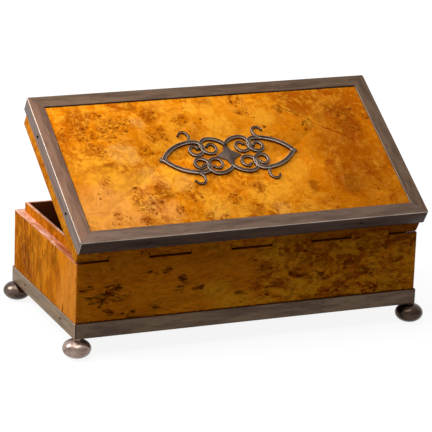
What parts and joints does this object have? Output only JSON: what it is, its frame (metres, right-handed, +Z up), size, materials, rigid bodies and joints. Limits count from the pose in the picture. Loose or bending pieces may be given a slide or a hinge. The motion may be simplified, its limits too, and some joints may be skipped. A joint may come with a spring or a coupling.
{
  "type": "wooden gift box",
  "caption": "Burl wood box on ball feet with a lined interior, a silver plinth, and a silver framed lid on a wooden finger hinge.",
  "frame": {"origin": "bottom centre of the bounding box on the plane that the feet stand on, with the lid open at its rest angle of 32 degrees; that is 1.9 mm behind the middle of the wooden body", "axes": "+X along the length, to the right seen from the front; +Y from the opening side towards the hinge side; +Z up"},
  "size_m": [0.2758, 0.1538, 0.159],
  "materials": {
    "burl_wood": "polished thuya burl",
    "burl_panel": "polished thuya burl veneer",
    "lining_wood": "dark stained cedar, waxed",
    "silver_sheet": "aged silver, rubbed bright on its edges",
    "silver_feet": "turned silver, polished and slightly tarnished",
    "steel_pin": "drawn steel wire"
  },
  "bodies": {
    "box": {"front_wall": "burl_wood", "right_wall": "burl_wood", "rear_wall": "burl_wood", "left_wall": "burl_wood", "base_board": "lining_wood", "front_liner": "lining_wood", "right_liner": "lining_wood", "rear_liner": "lining_wood", "left_liner": "lining_wood", "floor_liner": "lining_wood", "plinth_front": "silver_sheet", "plinth_right": "silver_sheet", "plinth_rear": "silver_sheet", "plinth_left": "silver_sheet", "plinth_nails": "silver_sheet", "foot_front_left": "silver_feet", "foot_front_right": "silver_feet", "foot_rear_left": "silver_feet", "foot_rear_right": "silver_feet", "hinge_pin": "steel_pin"},
    "lid": {"lid_board": "burl_wood", "lid_front_rail": "burl_wood", "lid_right_rail": "burl_wood", "lid_rear_rail": "burl_wood", "lid_left_rail": "burl_wood", "lid_lining": "lining_wood", "lid_panel": "burl_panel", "frame_front": "silver_sheet", "frame_right": "silver_sheet", "frame_rear": "silver_sheet", "frame_left": "silver_sheet", "frame_nails": "silver_sheet", "pin_plugs": "burl_wood", "ornament": "silver_sheet"}
  },
  "joints": [
    {"name": "lid_hinge", "type": "hinge", "parent": "box", "child": "lid", "pos_m": [0, 0.06249, 0.0711], "axis": [-1, 0, 0], "range_deg": [-32, 58]}
  ]
}
